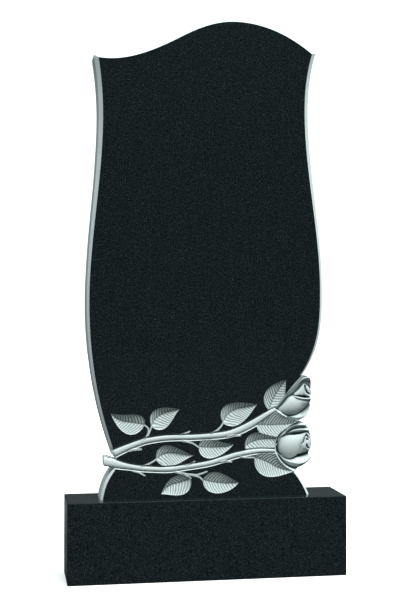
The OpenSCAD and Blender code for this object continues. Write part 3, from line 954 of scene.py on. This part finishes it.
# %% Run the tree on the sheet
def sheet_object():
    mesh = bpy.data.meshes.new("front_sheet")
    points = np.column_stack([sheet_xz[:, 0], np.full(len(sheet_xz), face_y), sheet_xz[:, 1]]) * MM
    mesh.from_pydata(points.tolist(), [], sheet_faces.tolist())
    border = np.maximum(-8, depth_inside(sheet_xz, rose_loop, 8))
    for loop in guide_loops:
        border = np.maximum(border, np.maximum(-8, depth_inside(sheet_xz, loop, 8)))
    numbers = {"valley": valley * MM, "vein": vein, "veined": veined, "painted_shade": painted_shade,
               "rose": from_tray(tray, sheet_xz) * MM, "in_rose": in_rose, "edge": border * MM}
    for name, values in numbers.items():
        give_numbers(mesh, name, values.astype(np.float32))
    return placed("front_sheet", mesh)


def set_inputs(modifier, values):
    """Sets a Geometry Nodes modifier's inputs by the identifiers of their sockets."""
    for item in modifier.node_group.interface.items_tree:
        if item.item_type == "SOCKET" and item.in_out == "INPUT" and item.name in values:
            modifier[item.identifier] = values[item.name]


def numbers_of(parts, name, each=1, kind=float):
    """The values, each to a row, that a mesh keeps for every vertex, edge, corner or face."""
    values = np.zeros(len(parts) * each, kind)
    parts.foreach_get(name, values)
    return values.reshape(-1, each) if each > 1 else values


front_finish = bpy.data.materials.new("carved_front")
front = sheet_object()
press = front.modifiers.new("press", "NODES")
press.node_group = carving_tree(front_finish)
set_inputs(press, {"Stems": stem_paths, "Twigs": twig_paths, "Finish": front_finish})
bpy.context.view_layer.update()
relief = bpy.data.meshes.new_from_object(front.evaluated_get(bpy.context.evaluated_depsgraph_get()))
front.modifiers.remove(press)
for spent in (front, stem_paths, twig_paths):
    bpy.data.objects.remove(spent)
relief_points = numbers_of(relief.vertices, "co", 3) / MM
print("relief from", relief_points[:, 1].min().round(2), "to", relief_points[:, 1].max().round(2), "mm")

# %% [markdown]
# Closing the slab.
# The relief is only the front. Round it go the bevel, the sawn sides and the flat back, all
# made from the rim's rows, so that the slab is one closed skin. The sawn stub is half as deep
# as the rest, so it gets a back of its own, and the slab's side carries on behind it.

# %% Rings of the rim
n = len(rim)
front_depth = relief_points[rim_vertex, 1] - face_y
middle_depth = np.maximum(rim[:, 4], front_depth + 0.6)
relief_count = len(relief_points)
ring_points = np.vstack([
    np.column_stack([outline[:, 0], face_y + middle_depth, outline[:, 1]]),
    np.column_stack([outline[:, 0], face_y + rim[:, 5], outline[:, 1]])])
middle_ring, back_ring = relief_count + np.arange(n), relief_count + n + np.arange(n)
root_a = sum(map(len, (side_left, crown_rim, side_right, petal_edge, right_foot, sole, left_foot)))
root_b = root_a + len(stub) + 1
root_points = ring_points[[root_a, root_b]] * [1, 0, 1] + [0, face_y + stub_reach, 0]
low_root, high_root = relief_count + 2 * n, relief_count + 2 * n + 1
print("stub between rim points", root_a, "and", root_b)

# %% Bevel, sides, stub and back
bevel_faces, side_faces = [], []
for i in range(n):
    j = (i + 1) % n
    bevel_faces.append((rim_vertex[i], rim_vertex[j], middle_ring[j], middle_ring[i]))
    top, bottom = [middle_ring[i], middle_ring[j]], [back_ring[j], back_ring[i]]
    if i == root_a:
        bottom = [back_ring[j], low_root]
    elif i == root_b - 1:
        bottom = [high_root, back_ring[i]]
    elif j == root_a:
        bottom = [low_root, back_ring[j], back_ring[i]]
    elif i == root_b:
        bottom = [back_ring[j], back_ring[i], high_root]
    side_faces.append(tuple(top + bottom))
side_faces.append((low_root, high_root, back_ring[root_b], back_ring[root_a]))
side_faces.append((low_root, *back_ring[root_a + 1:root_b], high_root))
kept_back = [k for k in range(n) if not root_a < k < root_b]
back_made = delaunay_2d_cdt([tuple(outline[k]) for k in kept_back],
                            [(k, (k + 1) % len(kept_back)) for k in range(len(kept_back))], [], 1, 1e-5)
back_index = {new: back_ring[kept_back[old[0]]] for new, old in enumerate(back_made[3]) if old}
back_faces = [tuple(back_index[k] for k in reversed(face))
              for face in back_made[2] if all(k in back_index for k in face)]
print(len(bevel_faces), "bevel,", len(side_faces), "side and", len(back_faces), "back faces")

# %% One closed mesh with its finishes
bevel_finish, side_finish, polish_finish = (bpy.data.materials.new(name) for name in
                                            ("matt_bevel", "sawn_side", "polished_back"))
points = np.vstack([relief_points, ring_points, root_points]) * MM
faces = numbers_of(relief.loops, "vertex_index", kind=int).reshape(-1, 3).tolist()
faces += [list(map(int, face)) for face in bevel_faces + side_faces + back_faces]
slab = bpy.data.meshes.new("stele_carved")
slab.from_pydata(points.tolist(), [], faces)
for finish in (front_finish, bevel_finish, side_finish, polish_finish):
    slab.materials.append(finish)
kinds = np.repeat([0, 1, 2, 3], [len(relief.polygons), len(bevel_faces), len(side_faces), len(back_faces)])
slab.polygons.foreach_set("material_index", kinds.astype(np.int32))
# Beneath the lowest petal of either rose the bevel is given painted shade, as dark as an undercut.
UNDERSIDE_SHADE = 0.95
outline_x, outline_z = outline.T
under_petals = ((outline_x > 205) & (outline_z > 385) & (outline_z < 404)
                | (outline_x > 230) & (outline_z > 262) & (outline_z < 294))
for name in ("edge", "vein", "veined", "painted_shade"):
    values = numbers_of(relief.attributes[name].data, "value", kind=np.float32)
    values = np.concatenate([values, np.zeros(len(points) - len(values), np.float32)])
    if name == "painted_shade":
        for ring in (middle_ring, rim_vertex):
            values[ring[under_petals]] = UNDERSIDE_SHADE
    give_numbers(slab, name, values)
slab.update()
loose = slab.validate(verbose=False)
print("mesh of", len(slab.polygons), "faces; anything repaired:", loose)

# %% [markdown]
# Sharp and soft edges.
# The face must stay perfectly flat in its reflections, so every edge between polish and
# carving is marked sharp, as is any edge that turns by more than forty degrees. All the others
# are smoothed, which lets the petals look rounded.

# %% Mark the sharp edges
slab.polygons.foreach_set("use_smooth", np.ones(len(slab.polygons), bool))
slab.set_sharp_from_angle(angle=math.radians(42))
edge_count = len(slab.edges)
loop_edge = numbers_of(slab.loops, "edge_index", kind=int)
normals = numbers_of(slab.polygons, "normal", 3)
flat_kind = (normals[:, 1] < -0.99999).astype(int) + 10 * kinds
loop_kind = np.repeat(flat_kind, numbers_of(slab.polygons, "loop_total", kind=int))
lowest, highest = np.full(edge_count, 99), np.full(edge_count, -1)
np.minimum.at(lowest, loop_edge, loop_kind)
np.maximum.at(highest, loop_edge, loop_kind)
sharp = numbers_of(slab.attributes["sharp_edge"].data, "value", kind=bool) | (lowest != highest)
slab.attributes["sharp_edge"].data.foreach_set("value", sharp)
walls = np.bincount(loop_edge, minlength=edge_count)
print(int(sharp.sum()), "sharp edges; edges without two faces:", int((walls != 2).sum()))

stele = placed("stele_carved", slab)

# %% [markdown]
# Polished and frosted granite.
# It is one stone with two looks. Polished, black granite is a dark mirror with tiny pale and
# dark grains in it. Where a tool has bruised the surface, light scatters and the same stone
# turns pale grey. One function builds both, and a mask between 0 and 1 chooses: on the front
# the mask is the distance inside the carved ground, so the border stays crisp at any size.

# %% Stone in two finishes
# SHADOW is the colour of painted shade in vein grooves, creases, undercuts and the stems' beds.
BLACK, DEEP_BLACK, FLECK = (0.0077, 0.0127, 0.0145, 1), (0.002, 0.0035, 0.004, 1), (0.055, 0.068, 0.070, 1)
GREY, PALE_GREY, SHADOW = (0.47, 0.545, 0.535, 1), (0.73, 0.81, 0.80, 1), (0.058, 0.098, 0.097, 1)
POLISHED_ROUGH, BRUISED_ROUGH, STONE_SHINE = 0.07, 0.85, 0.22
# How many flecks, dark grains, peck marks, clouds, smears and vein wobbles lie to the metre.
FLECKS, GRAINS, PECKS, CLOUDS, SMEARS, WOBBLES = 430, 300, 1300, 34, 60, 70


def start_tree(owner):
    """Empties a material's or a room's node tree, ready for new wires."""
    owner.use_nodes = True
    Wire.tree = owner.node_tree
    Wire.tree.nodes.clear()


def granite(material, mask, veins_and_shade=False, pecked=1.0):
    """Polished stone where the mask is 0, bruised stone where it is 1, or both as "edge" says, with combed
    veins and painted shade when asked.
    """
    start_tree(material)
    place = Wire(Wire.node("ShaderNodeTexCoord").outputs["Object"])

    def noise(scale, detail=2.0, rough=0.5):
        return Wire(Wire.node("ShaderNodeTexNoise", None, Vector=place, Scale=scale, Detail=detail,
                              Roughness=rough).outputs[0])

    def attribute(name):
        return Wire(Wire.node("ShaderNodeAttribute", {"attribute_name": name}).outputs["Fac"])

    def mixed(amount, a, b):
        node = Wire.node("ShaderNodeMix", {"data_type": "RGBA"}, _0=amount, _6=a, _7=b)
        return Wire(node.outputs[2])

    def chosen(polished, frosted, blend):
        """Blends where the mask varies, and picks one of the two where it doesn't."""
        if mask == "edge":
            return blend(bruised, polished, frosted)
        return frosted if mask else polished

    bruised = attribute("edge").step(-0.0001, 0.0003) if mask == "edge" else mask
    fleck = noise(FLECKS, 2.0, 0.7).step(0.57, 0.70)
    black = mixed(fleck, mixed(noise(GRAINS).step(0.52, 0.36), BLACK, DEEP_BLACK), FLECK)
    cloud, stipple = noise(CLOUDS, 3.0), noise(PECKS, 2.0, 0.6)
    grey = mixed((cloud - 0.5) * 0.35 + (stipple - 0.5) * 0.5 + 0.5, GREY, PALE_GREY)
    height = (stipple - 0.5) * 0.12 * pecked
    if veins_and_shade:
        wander = (noise(WOBBLES) - 0.5) * 0.9
        comb = abs(((attribute("vein") + wander) * math.pi).maths("SINE"))
        # Vein grooves and every place marked for painted shade are darkened towards SHADOW.
        groove_shade = (1.0 - comb) * attribute("veined")
        grey = mixed((groove_shade * 0.85).high(attribute("painted_shade")).low(1.0), grey, SHADOW)
        height = height + (comb - 0.5) * 0.8 * attribute("veined")
    colour = chosen(black, grey, mixed)
    rough = chosen((noise(SMEARS) - 0.5) * 0.04 + POLISHED_ROUGH, (stipple - 0.5) * 0.2 + BRUISED_ROUGH,
                   lambda amount, a, b: a + (b - a) * amount)
    shader = Wire.node("ShaderNodeBsdfPrincipled", None, Base_Color=colour, Roughness=rough)
    shader.inputs["Specular IOR Level"].default_value = STONE_SHINE
    if mask:
        height = height * bruised if mask == "edge" else height
        bump = Wire.node("ShaderNodeBump", None, Height=height, Distance=0.001, Strength=1.0)
        Wire.plug(shader.inputs["Normal"], bump)
    Wire.node("ShaderNodeOutputMaterial", None, Surface=shader)
    return material


granite(front_finish, "edge", veins_and_shade=True)
# The bevel reads the painted shade too, for the shade beneath the lowest petals.
granite(bevel_finish, 1.0, veins_and_shade=True)
granite(side_finish, 1.0, pecked=1.6)
granite(polish_finish, 0.0)
plinth_finish = granite(bpy.data.materials.new("polished_plinth"), 0.0)
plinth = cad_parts["plinth"]
for k in range(len(plinth.material_slots)):
    plinth.material_slots[k].material = plinth_finish
print("finishes:", [m.name for m in slab.materials], plinth_finish.name)

# %% [markdown]
# The new slab rides on the model's only body and stands in for the solid "stele".

# %% Put the slab in its place
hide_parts("stele")
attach(stele, "root")

# %% [markdown]
# Floor, light and camera.
# Black polish shows whatever stands round it, so the room matters more than the lamps. A big
# soft lamp overhead models the carving, two weaker ones lift the right and the left, and the
# room is dark in front of the stone, which keeps the face black. Only the camera sees the pale
# backdrop and the pale floor.

# %% Floor and room
floor_mesh = bpy.data.meshes.new("floor")
floor_mesh.from_pydata([(-12, -12, 0), (12, -12, 0), (12, 12, 0), (-12, 12, 0)], [], [(0, 1, 2, 3)])
floor = placed("floor", floor_mesh)
floor.location.z = -0.0005
paper = bpy.data.materials.new("pale_floor")
start_tree(paper)
seen = Wire(Wire.node("ShaderNodeLightPath").outputs["Is Camera Ray"])
dull = Wire.node("ShaderNodeBsdfDiffuse", None, Color=(0.07, 0.07, 0.07, 1))
white = Wire.node("ShaderNodeBsdfDiffuse", None, Color=(0.8, 0.8, 0.8, 1))
bright = Wire.node("ShaderNodeEmission", None, Color=(1, 1, 1, 1), Strength=0.45)
lit = Wire.node("ShaderNodeAddShader", None, _0=white, _1=bright)
either = Wire.node("ShaderNodeMixShader", None, _0=seen, _1=dull, _2=lit)
Wire.node("ShaderNodeOutputMaterial", None, Surface=either)
floor_mesh.materials.append(paper)

scene = bpy.context.scene
scene.world = bpy.data.worlds.new("room")
start_tree(scene.world)
seen = Wire(Wire.node("ShaderNodeLightPath").outputs["Is Camera Ray"])
direction = Wire(Wire.node("ShaderNodeTexCoord").outputs["Generated"])
towards = Wire.node("ShaderNodeSeparateXYZ", None, Vector=direction)
height, across = Wire(towards.outputs["Z"]), Wire(towards.outputs["X"])
ceiling = (0.085 + height.step(0.1, 0.9) * 1.1) * (across * 0.5 + 1.0)
glow = Wire.node("ShaderNodeBackground", None, Color=(0.84, 1.0, 0.985, 1),
                 Strength=ceiling * (1.0 - seen) + seen * 1.4)
Wire.node("ShaderNodeOutputWorld", None, Surface=glow)
print("room and floor are in place")


# %% Lamps
def sun(name, across, above, strength, spread):
    """A far lamp. It stands across degrees to the right of straight ahead and above degrees up."""
    light = bpy.data.lights.new(name, "SUN")
    light.energy, light.angle = strength, math.radians(spread)
    placed(name, light).rotation_euler = (math.radians(90 - above), 0, math.radians(across))


sun("overhead", 26, 60, 3.25, 20)
sun("right_lift", 70, 50, 0.5, 30)
sun("left_fill", -40, 45, 0.6, 30)
print(len(bpy.data.lights), "lamps")

# %% Camera
LOOKS_RIGHT, LENS, SENSOR = 9.6, 70.0, 36.0
camera = placed("camera", bpy.data.cameras.new("camera"))
camera.location = EYE * MM
camera.rotation_euler = (math.radians(90), 0, math.radians(-LOOKS_RIGHT))
camera.data.lens, camera.data.sensor_width = LENS, SENSOR
scene.camera = camera
scene.view_settings.view_transform = "Standard"
print("camera at", camera.location[:])
